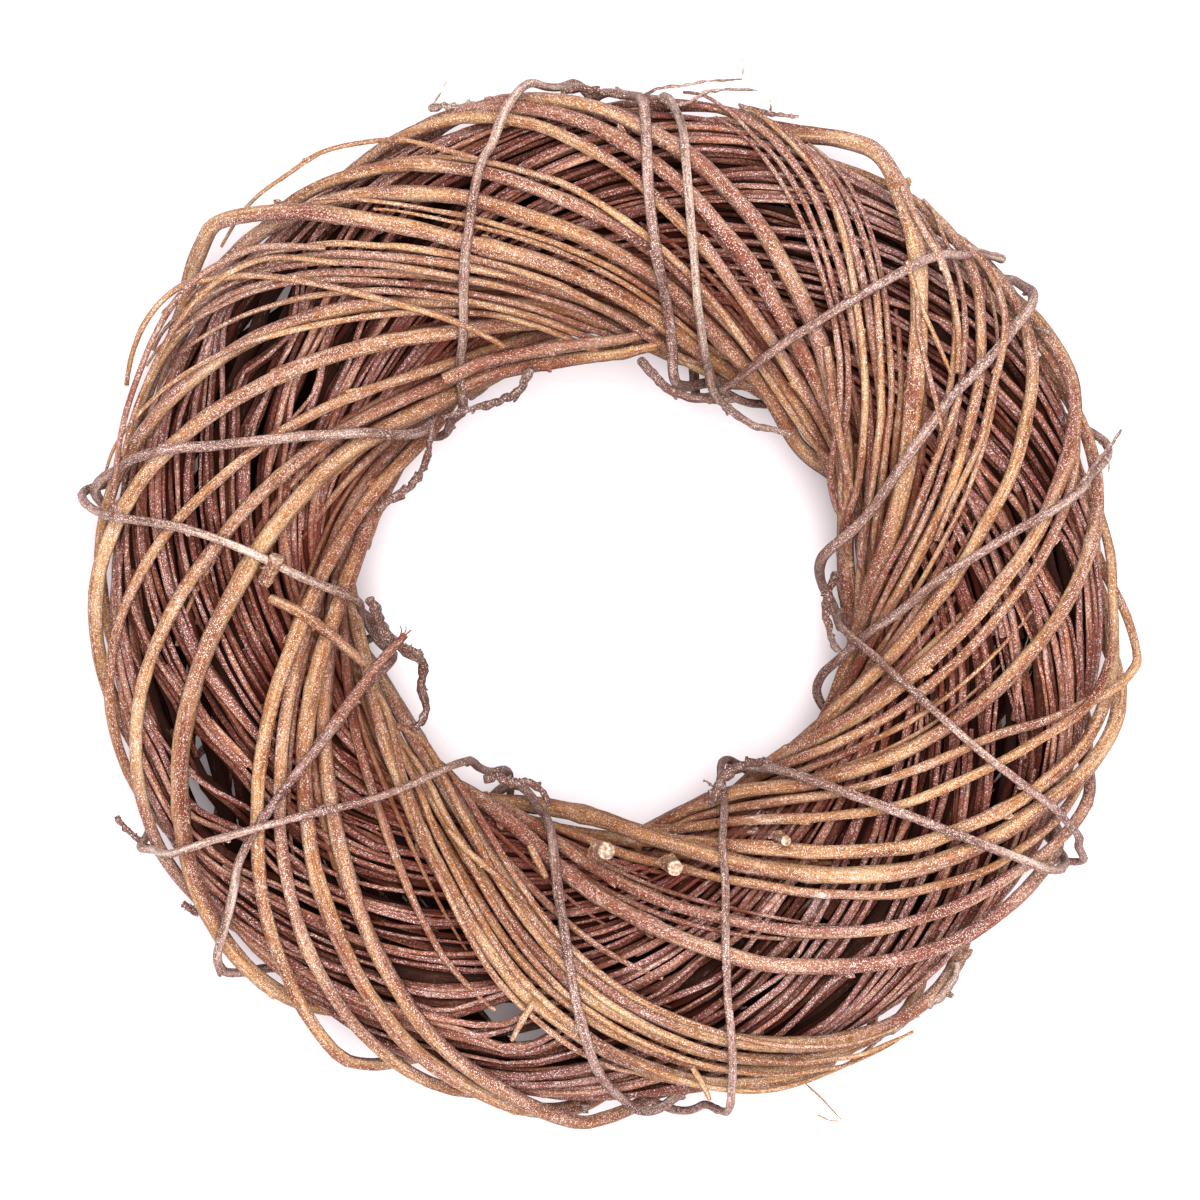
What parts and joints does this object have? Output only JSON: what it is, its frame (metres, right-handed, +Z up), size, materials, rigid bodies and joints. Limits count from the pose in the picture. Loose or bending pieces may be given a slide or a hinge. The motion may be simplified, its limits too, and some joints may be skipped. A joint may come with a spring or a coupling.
{
  "type": "willow wreath",
  "caption": "Ring of dried willow: a thick bed of fine dark twigs with longer tan rods wound over it and thin binding twigs, open in the middle, lying flat.",
  "frame": {"origin": "middle of the ring, on the surface that the wreath lies on", "axes": "+Z up out of the hole, +X to the right and +Y to the top of the picture, which looks straight down"},
  "size_m": [0.3122, 0.3081, 0.0746],
  "materials": {
    "fine_twigs": "matte dark bark",
    "tan_bark": "satin bark",
    "golden_bark": "satin bark",
    "reddish_bark": "satin bark",
    "binding_bark": "matte grey bark"
  },
  "bodies": {
    "root": {"twig_bed_01": "fine_twigs", "twig_bed_02": "fine_twigs", "twig_bed_03": "fine_twigs", "twig_bed_04": "fine_twigs", "twig_bed_05": "fine_twigs", "twig_bed_06": "fine_twigs", "twig_bed_07": "fine_twigs", "twig_bed_08": "fine_twigs", "twig_bed_09": "fine_twigs", "twig_bed_10": "fine_twigs", "twig_bed_11": "fine_twigs", "twig_bed_12": "fine_twigs", "willow_rod_01": "golden_bark", "willow_rod_02": "tan_bark", "willow_rod_03": "tan_bark", "willow_rod_04": "golden_bark", "willow_rod_05": "tan_bark", "willow_rod_06": "tan_bark", "willow_rod_07": "reddish_bark", "willow_rod_08": "reddish_bark", "willow_rod_09": "tan_bark", "willow_rod_10": "golden_bark", "willow_rod_11": "tan_bark", "willow_rod_12": "tan_bark", "willow_rod_13": "golden_bark", "willow_rod_14": "tan_bark", "willow_rod_15": "reddish_bark", "willow_rod_16": "reddish_bark", "willow_rod_17": "tan_bark", "willow_rod_18": "tan_bark", "willow_rod_19": "golden_bark", "willow_rod_20": "tan_bark", "willow_rod_21": "tan_bark", "willow_rod_22": "golden_bark", "willow_rod_23": "tan_bark", "willow_rod_24": "tan_bark", "willow_rod_25": "golden_bark", "willow_rod_26": "tan_bark", "willow_rod_27": "tan_bark", "willow_rod_28": "golden_bark", "willow_rod_29": "tan_bark", "willow_rod_30": "tan_bark", "willow_rod_31": "golden_bark", "willow_rod_32": "reddish_bark", "willow_rod_33": "tan_bark", "willow_rod_34": "golden_bark", "willow_rod_35": "tan_bark", "willow_rod_36": "reddish_bark", "binding_twig_01": "binding_bark", "binding_twig_02": "binding_bark"}
  },
  "joints": []
}
